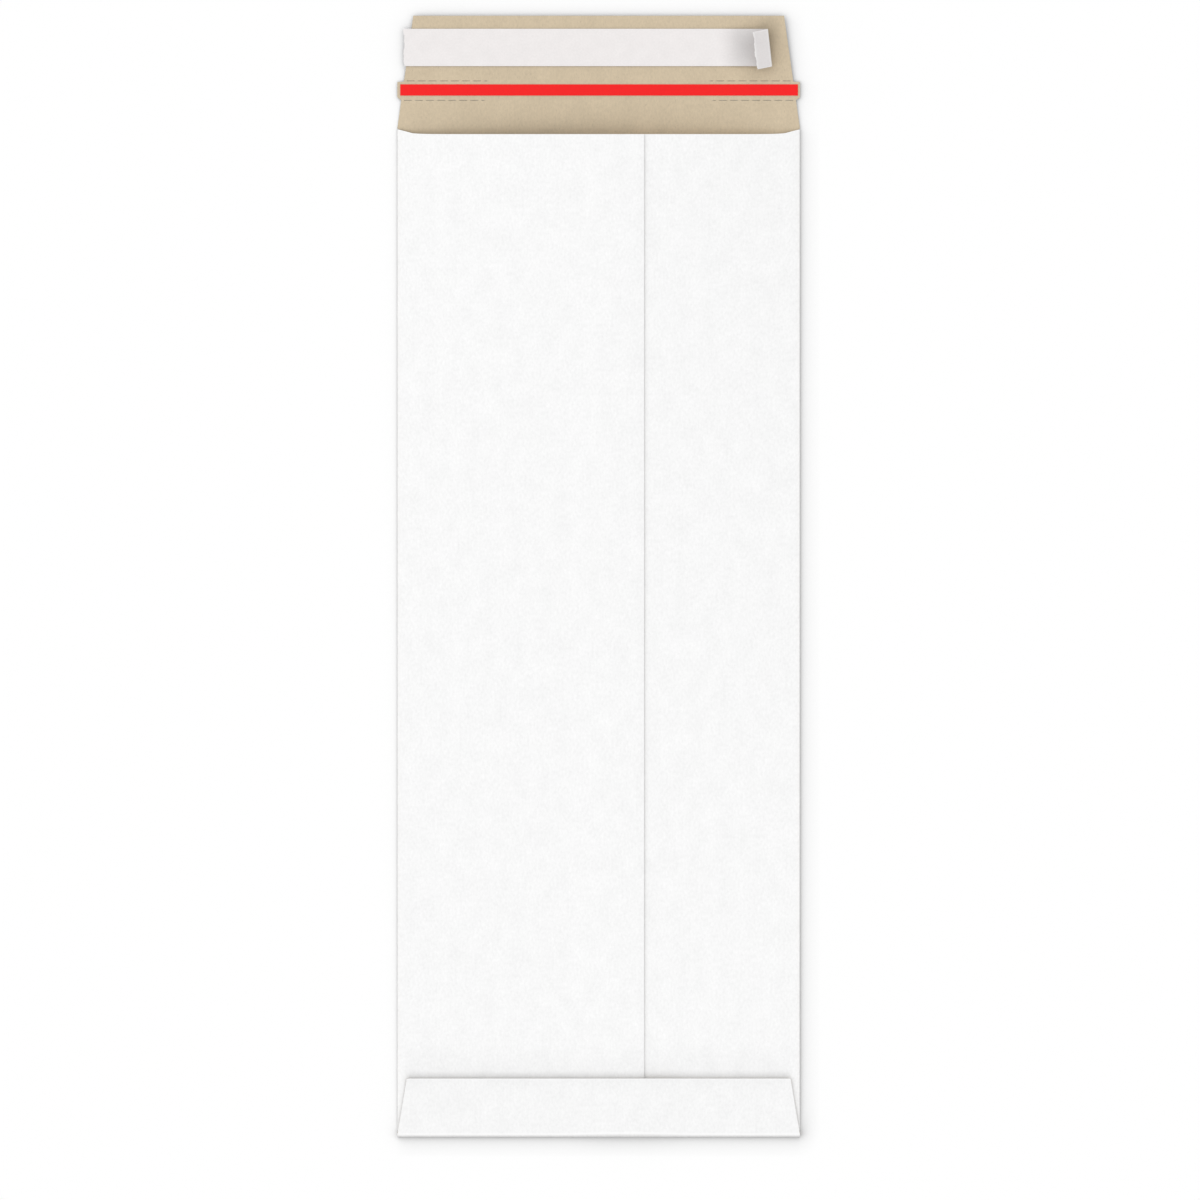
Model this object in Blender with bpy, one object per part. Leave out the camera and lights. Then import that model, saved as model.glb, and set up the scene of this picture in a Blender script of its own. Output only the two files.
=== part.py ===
"""Board envelope, 180 x 451 mm, lying with its address side down and its closing flap open.

One die-cut sheet is folded into the body, its seam, the bottom flap and the closing flap. The closing
flap carries a tear tape between two rows of perforation, and a band of adhesive under a release liner
whose end has been lifted and folded back. Metres, +Z up, +Y towards the closing flap. The origin is the
middle of the address side.
"""

import math

import bmesh
import bpy
from mathutils import Matrix, Vector

# Body
BODY_WIDTH = 0.180
BODY_LENGTH = 0.451
BOARD = 0.0006
FOLD_INNER_RADIUS = 0.0002
NARROW_PANEL_WIDTH = 0.0697
SEAM_OVERLAP = 0.015
SEAM_RAMP = 0.022
SEAM_PRESS_RUN = 0.003
SEAM_PRESS = 0.00025
PANEL_END_CLEARANCE = 0.003
CUT_RELIEF = 0.0006

# Mouth: the panels arch up over the address side, from nothing above the bottom flap
MOUTH_RISE = 0.008
FLAT_ABOVE_BOTTOM_FLAP = 0.012
RISE_POWER = 1.4
THROAT_DROP = 0.0026
THROAT_CHAMFER_RUN = 0.006
THROAT_CHAMFER_DROP = 0.0016
THROAT_BLEND = 0.004

# Bottom flap
BOTTOM_FLAP_HEIGHT = 0.0262
BOTTOM_FLAP_INSET = 0.0041
BOTTOM_FLAP_CORNER = 0.0007
BOTTOM_FREE_STRIP = 0.006
BOTTOM_EDGE_LIFT = 0.0006

# Closing flap, from its crease to its free edge
TEAR_STRIP_START = 0.0125
TEAR_STRIP_WIDTH = 0.0085
LINER_CLEARANCE = 0.0066
LINER_WIDTH = 0.01675
FREE_MARGIN = 0.006
FLAP_INSET = 0.0071
FLAP_LIFT = math.radians(1.8)
SCORE_HALF_WIDTH = 0.0006
SCORE_HEIGHT = 0.00012
EAR_SLOPE = 0.0014
EAR_SHORTFALL = 0.0003

# Perforation, read from the outer end of each row inwards
SLIT_PITCH = 0.00495
SLIT_LENGTH = 0.0036
SLIT_WIDTH = 0.00015
SHORT_SLIT_LENGTH = 0.0014
SLITS_IN_ROW = 7
SLIT_EDGE_MARGIN = 0.0012

# Films, papers and glue
BOND_GAP = 0.0001
GLUE_THICKNESS = 0.00015
SEAM_GLUE_MARGIN = 0.0035
BOTTOM_GLUE_MARGIN = 0.006
TAPE_WIDTH = 0.005
TAPE_THICKNESS = 0.00012
TAPE_EDGE_MARGIN = 0.0011
TAPE_SHIFT = 0.0002
ADHESIVE_WIDTH = 0.012
ADHESIVE_THICKNESS = 0.0001
ADHESIVE_START_MARGIN = 0.006

# Release liner: its left end is torn past the flap's edge, its right end is folded back
LINER_THICKNESS = 0.0001
LINER_START_MARGIN = 0.0026
LINER_FOLD_MARGIN = 0.0134
LINER_FOLD_ANGLE = math.radians(6.3)
LINER_FOLD_RADIUS = 0.0006
LINER_PEEL_RUN = 0.022
LINER_PEEL_HEIGHT = 0.0032
LINER_TAB_LENGTH = 0.0072
LINER_TAB_OPEN = math.radians(26)
LINER_TEAR = 0.00035

# Mesh density
TUBE_ROWS = 18
STRIP_HALF_COLUMNS = 24
WIDE_COLUMNS = 24
NARROW_COLUMNS = 16
FOLD_STEPS = 8
BOTTOM_FLAP_ROWS = 3
BOTTOM_FREE_ROWS = 3
LINER_COLUMNS = 10
LINER_ROWS = 8

# Derived places, all on the sheet's middle surface
BOTTOM_Y = -BODY_LENGTH / 2
CREASE_Y = BODY_LENGTH / 2
FOLD_RADIUS = FOLD_INNER_RADIUS + BOARD / 2
FOLD_X = BODY_WIDTH / 2 - BOARD / 2 - FOLD_RADIUS
FOLD_Z = BOARD / 2 + FOLD_RADIUS
PANEL_BOTTOM_Y = BOTTOM_Y + PANEL_END_CLEARANCE
THROAT_CORNER_Y = CREASE_Y - SCORE_HALF_WIDTH
SEAM_X = BODY_WIDTH / 2 - NARROW_PANEL_WIDTH
HIDDEN_EDGE_X = SEAM_X - SEAM_OVERLAP
GLUED_GAP = GLUE_THICKNESS + 2 * BOND_GAP
LAYER_STEP = BOARD + GLUED_GAP
BOTTOM_FLAP_EDGE_Y = BOTTOM_Y + BOTTOM_FLAP_HEIGHT
BOTTOM_GLUED_PART = 1 - BOTTOM_FREE_STRIP / BOTTOM_FLAP_HEIGHT
RISE_START_Y = BOTTOM_FLAP_EDGE_Y + FLAT_ABOVE_BOTTOM_FLAP
TEAR_STRIP_END = TEAR_STRIP_START + TEAR_STRIP_WIDTH
EAR_END = TEAR_STRIP_END - EAR_SHORTFALL
LINER_CENTRE = TEAR_STRIP_END + LINER_CLEARANCE + LINER_WIDTH / 2
FLAP_LENGTH = LINER_CENTRE + LINER_WIDTH / 2 + FREE_MARGIN
FLAP_PLACE = Matrix.Translation((0, CREASE_Y, BOARD / 2)) @ Matrix.Rotation(FLAP_LIFT, 4, "X")


def smooth(t):
    """0 to 1 with level ends, as t runs from 0 to 1."""
    t = min(max(t, 0.0), 1.0)
    return t * t * (3 - 2 * t)


def steps(count):
    """count + 1 even fractions from 0 to 1."""
    return [k / count for k in range(count + 1)]


def edge_dense(count):
    """2 x count + 1 fractions from -1 to 1, closer together towards both ends."""
    return [math.sin(math.pi / 2 * k / count) for k in range(-count, count + 1)]


# Heights of the layers


def mouth_rise(y):
    """How far the middle of the panels stands above where they lie flat."""
    along = (y - RISE_START_Y) / (CREASE_Y - RISE_START_Y)
    return MOUTH_RISE * max(along, 0.0) ** RISE_POWER


def fold_opening(y):
    """The angle by which the arch opens the side folds."""
    return math.atan(2 * mouth_rise(y) / FOLD_X)


def panel_half_span(y):
    """Where the side folds end and the panels begin."""
    return FOLD_X + FOLD_RADIUS * math.sin(fold_opening(y))


def narrow_panel_z(x, y):
    arch = 1 - (x / panel_half_span(y)) ** 2
    return FOLD_Z + FOLD_RADIUS * math.cos(fold_opening(y)) + mouth_rise(y) * arch


def over_seam_z(x, y):
    """The level at which a layer lies that climbs over the narrow panel's hidden edge."""
    climb = (x - HIDDEN_EDGE_X + SEAM_RAMP) / SEAM_RAMP
    return narrow_panel_z(x, y) + LAYER_STEP * smooth(climb)


def wide_panel_z(x, y):
    """The wide panel, whose free edge is pressed down past the glue."""
    pressed = (x - SEAM_X + SEAM_PRESS_RUN) / SEAM_PRESS_RUN
    return over_seam_z(x, y) - SEAM_PRESS * smooth(pressed)


def bottom_flap_z(x, y):
    """The bottom flap lies on both panels, and its edge stands a little proud past the glue."""
    if x < SEAM_X:
        below = over_seam_z(x, y)
    else:
        settle = (x - SEAM_X - BOARD) / SEAM_RAMP
        below = narrow_panel_z(x, y) + LAYER_STEP * (1 - smooth(settle))
    past_glue = (y - BOTTOM_FLAP_EDGE_Y) / BOTTOM_FREE_STRIP + 1
    return below + LAYER_STEP + BOTTOM_EDGE_LIFT * max(past_glue, 0.0) ** 2


# Outlines


def throat_y(x):
    """The mouth edge of the panels: a chamfer at each corner that blends into a straight edge."""
    inward = FOLD_X - abs(x)
    if inward <= 0:
        return THROAT_CORNER_Y
    chamfer = THROAT_CHAMFER_DROP * min(inward / THROAT_CHAMFER_RUN, 1.0)
    past = max(inward - THROAT_CHAMFER_RUN, 0.0)
    rest = THROAT_DROP - SCORE_HALF_WIDTH - THROAT_CHAMFER_DROP
    return THROAT_CORNER_Y - chamfer - rest * (1 - math.exp(-past / THROAT_BLEND))


def flap_half_width(v):
    """Half the closing flap's width at v from its crease, without the ears."""
    return BODY_WIDTH / 2 - FLAP_INSET * v / FLAP_LENGTH


def bottom_flap_edge_y(x):
    """The free edge of the bottom flap, with rounded corners."""
    into_corner = abs(x) - (BODY_WIDTH / 2 - BOTTOM_FLAP_INSET - BOTTOM_FLAP_CORNER)
    into_corner = min(max(into_corner, 0.0), BOTTOM_FLAP_CORNER)
    drop = BOTTOM_FLAP_CORNER - math.sqrt(BOTTOM_FLAP_CORNER**2 - into_corner**2)
    return BOTTOM_FLAP_EDGE_Y - drop


def on_flap(x, v, w=0.0):
    """A point of the closing flap: x across, v from the crease, w off its middle surface."""
    return FLAP_PLACE @ Vector((x, v, w))


# The folded sheet


def add_rows(bm, rows):
    """Faces between neighbouring rows of points, with the white outside as their front."""
    placed = [[bm.verts.new(point) for point in row] for row in rows]
    for low, high in zip(placed, placed[1:]):
        for k in range(len(low) - 1):
            bm.faces.new((low[k], high[k], high[k + 1], low[k + 1]))


def bottom_flap_rows(columns):
    """From the bottom flap's free edge down to its fold."""
    rows = []
    places = [s * BOTTOM_GLUED_PART for s in steps(BOTTOM_FLAP_ROWS)[1:]]
    places += [1 - (1 - s) * (1 - BOTTOM_GLUED_PART) for s in steps(BOTTOM_FREE_ROWS)[1:]]
    for s in reversed(places):
        half = BODY_WIDTH / 2 - BOTTOM_FLAP_INSET * s
        row = []
        for f in columns:
            fold_y = bottom_fold(f * half)[1]
            edge_y = bottom_flap_edge_y(f * (BODY_WIDTH / 2 - BOTTOM_FLAP_INSET))
            y = fold_y + s * (edge_y - fold_y)
            row.append(Vector((f * half, y, bottom_flap_z(f * half, y))))
        rows.append(row)
    return rows


def bottom_fold(x):
    """Radius and centre of the bottom fold's arc at x, where it wraps the stack of panels."""
    radius = (bottom_flap_z(x, BOTTOM_Y) - BOARD / 2) / 2
    return radius, BOTTOM_Y + BOARD / 2 + radius


def bottom_fold_rows(columns):
    """Round the bottom fold, from the bottom flap down to the address panel."""
    rows = []
    for s in steps(FOLD_STEPS):
        angle = math.pi * (0.5 + s)
        row = []
        for f in columns:
            x = f * BODY_WIDTH / 2
            radius, centre_y = bottom_fold(x)
            y = centre_y + radius * math.cos(angle)
            row.append(Vector((x, y, BOARD / 2 + radius * (1 + math.sin(angle)))))
        rows.append(row)
    return rows


def address_rows(columns):
    """The address panel, as wide as the side folds leave it, from the cut relief to the crease."""
    cut = Vector((0, PANEL_BOTTOM_Y - CUT_RELIEF, BOARD / 2))
    rows = [[cut + Vector((f * BODY_WIDTH / 2, 0, 0)) for f in columns]]
    for s in steps(TUBE_ROWS):
        y = PANEL_BOTTOM_Y + s * (THROAT_CORNER_Y - PANEL_BOTTOM_Y)
        rows.append([Vector((f * FOLD_X, y, BOARD / 2)) for f in columns])
    return rows


def closing_flap_rows(columns):
    """The score line at the crease, then the tapered flap."""
    heights = [SCORE_HALF_WIDTH, TEAR_STRIP_START, TEAR_STRIP_START + EAR_SLOPE, EAR_END]
    heights += [LINER_CENTRE, FLAP_LENGTH]
    rows = [[on_flap(f * BODY_WIDTH / 2, 0, SCORE_HEIGHT) for f in columns]]
    for v in heights:
        rows.append([on_flap(f * flap_half_width(v), v) for f in columns])
    return rows


def add_ears(bm):
    """The ends of the tear strip, which reach out to the full width of the body."""
    low = TEAR_STRIP_START
    middle = low + EAR_SLOPE
    high = EAR_END
    for side in (-1, 1):
        inner = [on_flap(side * flap_half_width(v), v) for v in (low, middle, high)]
        outer = [on_flap(side * BODY_WIDTH / 2, v) for v in (middle, high)]
        ring = [inner[0], inner[1], inner[2], outer[1], outer[0]]
        if side < 0:
            ring.reverse()
        triangle = (ring[0], ring[1], ring[4]) if side > 0 else (ring[4], ring[0], ring[3])
        quad = (ring[1], ring[2], ring[3], ring[4]) if side > 0 else (ring[0], ring[1], ring[2], ring[3])
        bm.faces.new([bm.verts.new(point) for point in triangle])
        bm.faces.new([bm.verts.new(point) for point in quad])


def panel_columns(count, edge_run):
    """Fractions across a panel from its fold: close together at the fold, and in edge_run at its edge."""
    across = [1 - math.cos(math.pi / 2 * k) for k in steps(count)[1:]]
    return [f for f in across if f < 1 - edge_run] + [1 - edge_run, 1 - edge_run / 2, 1]


def side_rows(side, panel_z, edge_x, columns):
    """One side fold and its panel, in rows from the bottom of the envelope to its mouth."""
    rows = []
    for s in steps(TUBE_ROWS):
        corner_y = PANEL_BOTTOM_Y + s * (THROAT_CORNER_Y - PANEL_BOTTOM_Y)
        turn = math.pi - fold_opening(corner_y)
        row = []
        for k in steps(FOLD_STEPS):
            x = FOLD_X + FOLD_RADIUS * math.sin(k * turn)
            row.append(Vector((side * x, corner_y, FOLD_Z - FOLD_RADIUS * math.cos(k * turn))))
        start_x = side * panel_half_span(corner_y)
        for k in columns:
            x = start_x + (edge_x - start_x) * k
            y = PANEL_BOTTOM_Y + s * (throat_y(x) - PANEL_BOTTOM_Y)
            row.append(Vector((x, y, panel_z(x, y))))
        rows.append(row if side > 0 else row[::-1])
    return rows


def make_object(name, bm, materials):
    bmesh.ops.remove_doubles(bm, verts=bm.verts, dist=1e-6)
    mesh = bpy.data.meshes.new(name)
    bm.to_mesh(mesh)
    bm.free()
    mesh.shade_smooth()
    mesh.set_sharp_from_angle(angle=math.radians(35))
    for material in materials:
        mesh.materials.append(material)
    thing = bpy.data.objects.new(name, mesh)
    bpy.context.scene.collection.objects.link(thing)
    return thing


def add_thickness(thing, thickness, inside=0, edge=0):
    """Thickens a sheet by half to each side. inside and edge are material slots."""
    solid = thing.modifiers.new("Thickness", "SOLIDIFY")
    solid.thickness = thickness
    solid.offset = 0
    solid.use_even_offset = True
    solid.material_offset = inside
    solid.material_offset_rim = edge


def shade_evenly(thing):
    """Keeps broad faces level in shading, up to a cut edge."""
    shading = thing.modifiers.new("Shading", "WEIGHTED_NORMAL")
    shading.keep_sharp = True


def paint(name, colour, roughness):
    material = bpy.data.materials.new(name)
    material.use_nodes = True
    shader = material.node_tree.nodes["Principled BSDF"]
    shader.inputs["Base Color"].default_value = (*colour, 1)
    shader.inputs["Roughness"].default_value = roughness
    shader.inputs["Metallic"].default_value = 0
    return material


def make_blank():
    columns = edge_dense(STRIP_HALF_COLUMNS)
    bm = bmesh.new()
    strip = bottom_flap_rows(columns) + bottom_fold_rows(columns)
    strip += address_rows(columns) + closing_flap_rows(columns)
    add_rows(bm, strip)
    add_ears(bm)
    pressed = SEAM_PRESS_RUN / (FOLD_X + SEAM_X)
    add_rows(bm, side_rows(-1, wide_panel_z, SEAM_X, panel_columns(WIDE_COLUMNS, pressed)))
    add_rows(bm, side_rows(1, narrow_panel_z, HIDDEN_EDGE_X, panel_columns(NARROW_COLUMNS, pressed)))
    white = paint("board_white_face", (0.93, 0.93, 0.93), 0.75)
    kraft = paint("board_kraft_face", (0.62, 0.51, 0.37), 0.9)
    core = paint("board_cut_edge", (0.74, 0.66, 0.53), 0.95)
    blank = make_object("board_blank", bm, (white, kraft, core))
    add_thickness(blank, BOARD, inside=1, edge=2)
    return blank


# Perforation


def slit_spans(v):
    """Start and end of each slit of the right half of a row at v from the crease."""
    start = flap_half_width(v) - SLIT_EDGE_MARGIN
    spans = [(start - k * SLIT_PITCH, SLIT_LENGTH) for k in range(SLITS_IN_ROW)]
    spans.append((start - SLITS_IN_ROW * SLIT_PITCH, SHORT_SLIT_LENGTH))
    return [(outer, outer - length) for outer, length in spans]


def cut_perforation(blank, crease):
    bm = bmesh.new()
    for v in (TEAR_STRIP_START, TEAR_STRIP_END):
        for outer, inner in slit_spans(v):
            for side in (-1, 1):
                size = Matrix.Diagonal((outer - inner, SLIT_WIDTH, 4 * BOARD, 1))
                place = Matrix.Translation((side * (outer + inner) / 2, v, 0))
                bmesh.ops.create_cube(bm, size=1, matrix=place @ size)
    cutter = make_object("perforation_cutter", bm, ())
    cutter.parent = crease
    cutter.hide_render = True
    cutter.display_type = "WIRE"
    cut = blank.modifiers.new("Perforation", "BOOLEAN")
    cut.operation = "DIFFERENCE"
    cut.solver = "EXACT"
    cut.object = cutter
    shade_evenly(blank)


# Pieces on the closing flap, placed from its crease


def crease_empty():
    crease = bpy.data.objects.new("closing_crease", None)
    crease.location = FLAP_PLACE.to_translation()
    crease.rotation_euler = (FLAP_LIFT, 0, 0)
    bpy.context.scene.collection.objects.link(crease)
    return crease


def make_band(name, x_range, centre_v, width, base, thickness, material, crease):
    """A flat band on the closing flap. base is the height of its underside."""
    bm = bmesh.new()
    length = x_range[1] - x_range[0]
    size = Matrix.Diagonal((length, width, thickness, 1))
    bmesh.ops.create_cube(bm, size=1, matrix=size)
    band = make_object(name, bm, (material,))
    band.parent = crease
    band.location = (sum(x_range) / 2, centre_v, base + thickness / 2)
    return band


def liner_path(d):
    """Offset across the fold line and height, at d along the liner from where its fold begins."""
    turn = math.pi - LINER_TAB_OPEN
    if d <= 0:
        return d, LINER_PEEL_HEIGHT * max(1 + d / LINER_PEEL_RUN, 0.0) ** 2
    bend = min(d / LINER_FOLD_RADIUS, turn)
    across = LINER_FOLD_RADIUS * math.sin(bend)
    height = LINER_PEEL_HEIGHT + LINER_FOLD_RADIUS * (1 - math.cos(bend))
    past = max(d - LINER_FOLD_RADIUS * turn, 0.0)
    return across - past * math.cos(LINER_TAB_OPEN), height + past * math.sin(LINER_TAB_OPEN)


def torn(b, phase):
    """A torn end's departure from a straight line, at b across the liner."""
    t = b / LINER_WIDTH
    return LINER_TEAR * (math.sin(9 * t + phase) + 0.6 * math.sin(23 * t + 2 * phase)) / 1.6


def make_liner(material, crease):
    """A ribbon bent about a slanting line: each point keeps its foot on the line and moves across it."""
    fold_x = BODY_WIDTH / 2 - LINER_FOLD_MARGIN - LINER_FOLD_RADIUS
    start_x = LINER_START_MARGIN - BODY_WIDTH / 2
    normal = Vector((math.cos(LINER_FOLD_ANGLE), math.sin(LINER_FOLD_ANGLE), 0))
    turn_length = LINER_FOLD_RADIUS * (math.pi - LINER_TAB_OPEN)
    rows = []
    for r in steps(LINER_ROWS):
        b = LINER_WIDTH * (r - 0.5)
        line_x = fold_x - b * math.tan(LINER_FOLD_ANGLE)
        start = (start_x + torn(b, 0.4) - line_x) * normal.x
        across_fold = [start + s * (-LINER_PEEL_RUN - start) for s in steps(3)]
        across_fold += [(s - 1) * LINER_PEEL_RUN for s in steps(LINER_COLUMNS)[1:]]
        across_fold += [s * turn_length for s in steps(LINER_COLUMNS)[1:]]
        across_fold += [turn_length + s * (LINER_TAB_LENGTH + torn(b, 2.0)) for s in steps(4)[1:]]
        row = []
        for d in across_fold:
            foot = Vector((line_x + d / normal.x, b, 0)) - d * normal
            across, height = liner_path(d)
            row.append(foot + across * normal + Vector((0, 0, height)))
        rows.append(row)
    bm = bmesh.new()
    add_rows(bm, rows)
    liner = make_object("release_liner", bm, (material,))
    add_thickness(liner, LINER_THICKNESS)
    shade_evenly(liner)
    base = BOARD / 2 + ADHESIVE_THICKNESS + 2 * BOND_GAP
    liner.parent = crease
    liner.location = (0, LINER_CENTRE, base + LINER_THICKNESS / 2)


# Glue between the layers of the body


def make_seam_glue(material):
    low = PANEL_BOTTOM_Y + SEAM_GLUE_MARGIN
    high = CREASE_Y - THROAT_DROP - SEAM_GLUE_MARGIN
    lift = BOARD / 2 + BOND_GAP + GLUE_THICKNESS / 2
    rows = []
    for s in steps(TUBE_ROWS):
        y = low + s * (high - low)
        row = []
        for k in steps(3):
            x = HIDDEN_EDGE_X + SEAM_GLUE_MARGIN + k * (SEAM_OVERLAP - 2 * SEAM_GLUE_MARGIN)
            row.append(Vector((x, y, narrow_panel_z(x, y) + lift)))
        rows.append(row)
    bm = bmesh.new()
    add_rows(bm, rows)
    glue = make_object("seam_glue", bm, (material,))
    add_thickness(glue, GLUE_THICKNESS)
    shade_evenly(glue)


def make_bottom_glue(material):
    half = BODY_WIDTH / 2 - BOTTOM_FLAP_INSET - BOTTOM_GLUE_MARGIN
    low = PANEL_BOTTOM_Y + SEAM_GLUE_MARGIN
    high = BOTTOM_FLAP_EDGE_Y - BOTTOM_GLUE_MARGIN
    drop = BOARD / 2 + BOND_GAP + GLUE_THICKNESS / 2
    rows = []
    for s in steps(4):
        y = low + s * (high - low)
        row = []
        for f in edge_dense(STRIP_HALF_COLUMNS):
            row.append(Vector((f * half, y, bottom_flap_z(f * half, y) - drop)))
        rows.append(row)
    bm = bmesh.new()
    add_rows(bm, rows)
    glue = make_object("bottom_glue", bm, (material,))
    add_thickness(glue, GLUE_THICKNESS)
    shade_evenly(glue)


def main():
    for thing in list(bpy.data.objects):
        bpy.data.objects.remove(thing, do_unlink=True)
    crease = crease_empty()
    blank = make_blank()
    cut_perforation(blank, crease)
    red = paint("red_film", (0.92, 0.03, 0.03), 0.4)
    clear = paint("clear_adhesive", (0.85, 0.84, 0.78), 0.3)
    paper = paint("siliconed_paper", (0.86, 0.83, 0.82), 0.45)
    glue = paint("dried_glue", (0.80, 0.76, 0.66), 0.6)
    face = BOARD / 2 + BOND_GAP
    half = BODY_WIDTH / 2
    tape_reach = half - TAPE_EDGE_MARGIN
    tape_v = TEAR_STRIP_START + TEAR_STRIP_WIDTH / 2 + TAPE_SHIFT
    make_band("tear_tape", (-tape_reach, tape_reach), tape_v, TAPE_WIDTH, face, TAPE_THICKNESS, red, crease)
    under_liner = (ADHESIVE_START_MARGIN - half, half - LINER_FOLD_MARGIN - LINER_PEEL_RUN)
    make_band(
        "adhesive_strip", under_liner, LINER_CENTRE, ADHESIVE_WIDTH, face, ADHESIVE_THICKNESS, clear, crease
    )
    make_liner(paper, crease)
    make_seam_glue(glue)
    make_bottom_glue(glue)


main()
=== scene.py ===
"""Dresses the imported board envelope: folded sheet, tear tape, release liner, materials, light and camera.

The sheet is cut flat, with its perforation, and then folded as a maker would fold it. Its flat places
stay on it as a UV map, so the fibres of the board run on over every fold. Metres, +Z up, +Y towards the
closing flap.
"""

import math

import bmesh
import bpy
from bpy.props import FloatProperty, FloatVectorProperty, PointerProperty
from mathutils import Matrix, Vector


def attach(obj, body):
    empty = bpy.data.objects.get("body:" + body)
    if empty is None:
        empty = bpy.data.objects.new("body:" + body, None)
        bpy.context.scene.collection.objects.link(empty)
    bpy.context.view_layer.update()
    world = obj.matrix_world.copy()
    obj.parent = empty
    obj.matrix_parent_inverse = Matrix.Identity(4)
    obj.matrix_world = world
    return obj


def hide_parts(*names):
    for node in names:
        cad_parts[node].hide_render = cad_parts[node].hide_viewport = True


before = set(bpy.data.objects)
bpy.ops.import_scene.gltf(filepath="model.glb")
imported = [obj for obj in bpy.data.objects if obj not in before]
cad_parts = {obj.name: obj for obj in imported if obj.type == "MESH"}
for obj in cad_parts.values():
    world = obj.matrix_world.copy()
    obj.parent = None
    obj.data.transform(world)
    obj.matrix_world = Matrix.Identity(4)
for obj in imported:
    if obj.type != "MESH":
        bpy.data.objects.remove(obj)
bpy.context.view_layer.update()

bl_info = {
    "name": "Board envelope",
    "version": (1, 0, 0),
    "blender": (4, 5, 0),
    "location": "3D View > Sidebar > Envelope",
    "description": "Makes an open board envelope with tear tape, perforation and release liner",
    "category": "Object",
}

# Die-cut outline, close to the part's: the folds are squarer, and the tear strip is 0.2 mm wider
BODY_WIDTH = 0.180
BODY_LENGTH = 0.451
FOLD_INNER_RADIUS = 0.0002
FOLD_SQUARENESS = 7
NARROW_PANEL_WIDTH = 0.0697
SEAM_OVERLAP = 0.015
SEAM_RAMP = 0.022
SEAM_PRESS_RUN = 0.003
SEAM_PRESS = 0.00025
PANEL_END_CLEARANCE = 0.003
CUT_RELIEF = 0.0006
FLAT_ABOVE_BOTTOM_FLAP = 0.012
RISE_POWER = 1.4
THROAT_DROP = 0.0026
THROAT_CHAMFER_RUN = 0.006
THROAT_CHAMFER_DROP = 0.0016
THROAT_BLEND = 0.004
BOTTOM_FLAP_HEIGHT = 0.0262
BOTTOM_FLAP_INSET = 0.0041
BOTTOM_FLAP_CORNER = 0.0007
BOTTOM_FREE_STRIP = 0.006
BOTTOM_EDGE_LIFT = 0.0006
BOTTOM_FOLD_LENGTH = 0.0045
FLAT_BOTTOM_FLAP = 0.0242
TEAR_STRIP_START = 0.0125
TEAR_STRIP_WIDTH = 0.0087
LINER_CLEARANCE = 0.0066
LINER_WIDTH = 0.01675
FREE_MARGIN = 0.0058
FLAP_INSET = 0.0071
SCORE_HALF_WIDTH = 0.0006
SCORE_HEIGHT = 0.00012
EAR_SLOPE = 0.0014
EAR_SHORTFALL = 0.0003
EAR_TOP_DROP = 0.0002

# Perforation
SLIT_PITCH = 0.00495
SLIT_LENGTH = 0.0035
SHORT_SLIT_LENGTH = 0.0014
SLITS_IN_ROW = 7
SLIT_EDGE_MARGIN = 0.0012
DENT_HALF_WIDTH = 0.0004

# Layers
BOND_GAP = 0.0001
GLUE_THICKNESS = 0.00015
ADHESIVE_THICKNESS = 0.0001
TAPE_EDGE_MARGIN = 0.0011
TAPE_SHIFT = 0.0003
TAPE_SIDE_SHIFT = 0.0002
TAPE_RIPPLE = 0.000012
LINER_START_MARGIN = 0.0029
LINER_FOLD_MARGIN = 0.0134
LINER_FOLD_ANGLE = math.radians(6.3)
LINER_FOLD_RADIUS = 0.0006
LINER_PEEL_RUN = 0.022
LINER_PEEL_HEIGHT = 0.0032
TAB_SLIDE = 0.6
TORN_DEPTH = 0.00035

# Mesh density
STRIP_HALF_COLUMNS = 44
WIDE_COLUMNS = 56
NARROW_COLUMNS = 40
FOLD_STEPS = 14
BODY_ROWS = 56
BOTTOM_FLAP_ROWS = 14
ROWS_BELOW_TEAR_STRIP = (0.004, 0.008)
ROW_IN_TEAR_STRIP = 0.0172
ROWS_ABOVE_TEAR_STRIP = (0.025, 0.030, 0.035, 0.040, 0.045)
TAPE_GRID = (9, 181)
LINER_ROWS = 41
LINER_FLAT_STEPS = 60
LINER_PEEL_STEPS = 30
LINER_TURN_STEPS = 16
LINER_TAB_STEPS = 16
CUT_EDGE_ANGLE = math.radians(50)

# Places that follow from the sizes
BOTTOM_Y = -BODY_LENGTH / 2
CREASE_Y = BODY_LENGTH / 2
PANEL_BOTTOM_Y = BOTTOM_Y + PANEL_END_CLEARANCE
THROAT_CORNER_Y = CREASE_Y - SCORE_HALF_WIDTH
SEAM_X = BODY_WIDTH / 2 - NARROW_PANEL_WIDTH
HIDDEN_EDGE_X = SEAM_X - SEAM_OVERLAP
BOTTOM_FLAP_EDGE_Y = BOTTOM_Y + BOTTOM_FLAP_HEIGHT
RISE_START_Y = BOTTOM_FLAP_EDGE_Y + FLAT_ABOVE_BOTTOM_FLAP
TEAR_STRIP_END = TEAR_STRIP_START + TEAR_STRIP_WIDTH
LINER_CENTRE = TEAR_STRIP_END + LINER_CLEARANCE + LINER_WIDTH / 2
FLAP_LENGTH = LINER_CENTRE + LINER_WIDTH / 2 + FREE_MARGIN
EAR_END = TEAR_STRIP_END - EAR_SHORTFALL
FLAT_FOLD_START = PANEL_BOTTOM_Y - 2 * CUT_RELIEF
FLAT_FOLD_END = FLAT_FOLD_START - BOTTOM_FOLD_LENGTH
FLAT_FOLD_MIDDLE = (FLAT_FOLD_START + FLAT_FOLD_END) / 2
LINER_FOLD_X = BODY_WIDTH / 2 - LINER_FOLD_MARGIN - LINER_FOLD_RADIUS

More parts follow.
